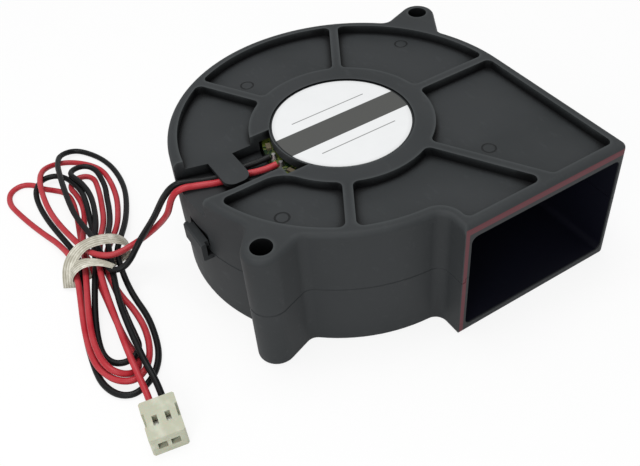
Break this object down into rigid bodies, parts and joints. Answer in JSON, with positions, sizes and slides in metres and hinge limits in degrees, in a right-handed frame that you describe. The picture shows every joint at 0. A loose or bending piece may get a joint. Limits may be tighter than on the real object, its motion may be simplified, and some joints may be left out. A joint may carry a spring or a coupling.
{
  "type": "dc blower fan",
  "caption": "Flat centrifugal blower with a split scroll housing, side outlet, brushless motor, drum impeller and two leads on a tied hank.",
  "frame": {"origin": "rotor axis in the plane of the underside, at the mouth of the round inlet", "axes": "+Z to the label side along the rotor axis, +X the way the air leaves the outlet, +Y towards the straight far wall"},
  "size_m": [0.1047, 0.1079, 0.03],
  "materials": {
    "housing_plastic": "fine moulded texture, satin",
    "impeller_plastic": "satin moulded",
    "label_film": "smooth printed film",
    "brass_part": "turned",
    "bearing_steel": "ground",
    "lamination_steel": "stamped",
    "ferrite": "bonded ferrite",
    "copper_wire": "enamelled winding",
    "white_nylon": "natural nylon",
    "board_laminate": "solder mask",
    "tinned_metal": "tinned",
    "chip_plastic": "moulded package",
    "chip_ceramic": "ceramic",
    "red_insulation": "soft lead insulation",
    "black_insulation": "soft lead insulation",
    "tie_paper": "ribbed tie ribbon",
    "connector_nylon": "natural nylon"
  },
  "bodies": {
    "housing": {"motor_housing": "housing_plastic", "inlet_cover": "housing_plastic", "hub_label": "label_film", "bearing_tube": "brass_part", "upper_bearing_outer_ring": "bearing_steel", "lower_bearing_outer_ring": "bearing_steel", "bearing_shields": "bearing_steel", "stator_core": "lamination_steel", "upper_insulator": "white_nylon", "lower_insulator": "white_nylon", "coil_1": "copper_wire", "coil_2": "copper_wire", "coil_3": "copper_wire", "coil_4": "copper_wire", "circuit_board": "board_laminate", "winding_pins": "tinned_metal", "solder_joints": "tinned_metal", "driver_chip": "chip_plastic", "hall_sensor": "chip_plastic", "chip_parts": "chip_ceramic", "black_lead_inner": "black_insulation", "red_lead_inner": "red_insulation", "black_lead": "black_insulation", "red_lead": "red_insulation", "lead_hank": "red_insulation", "black_lead_tail": "black_insulation", "red_lead_tail": "red_insulation", "cable_tie": "tie_paper", "connector_housing": "connector_nylon", "connector_contacts": "tinned_metal"},
    "rotor": {"impeller": "impeller_plastic", "rotor_yoke": "lamination_steel", "rotor_magnet": "ferrite", "shaft_bush": "brass_part", "shaft": "bearing_steel", "upper_bearing_inner_ring": "bearing_steel", "lower_bearing_inner_ring": "bearing_steel", "preload_spring": "bearing_steel", "clip_washer": "white_nylon", "retaining_clip": "bearing_steel"},
    "upper_balls": {"upper_bearing_balls": "bearing_steel"},
    "lower_balls": {"lower_bearing_balls": "bearing_steel"}
  },
  "joints": [
    {"name": "rotor_spin", "type": "hinge", "parent": "housing", "child": "rotor", "pos_m": [0, 0, 0.015], "axis": [0, 0, -1], "continuous": true},
    {"name": "upper_balls_orbit", "type": "hinge", "parent": "housing", "child": "upper_balls", "pos_m": [0, 0, 0.0251], "axis": [0, 0, -1], "continuous": true},
    {"name": "lower_balls_orbit", "type": "hinge", "parent": "housing", "child": "lower_balls", "pos_m": [0, 0, 0.0139], "axis": [0, 0, -1], "continuous": true}
  ],
  "couplings": [
    {"joint": "upper_balls_orbit", "follows": "rotor_spin", "ratio": 0.39216},
    {"joint": "lower_balls_orbit", "follows": "rotor_spin", "ratio": 0.39216}
  ]
}
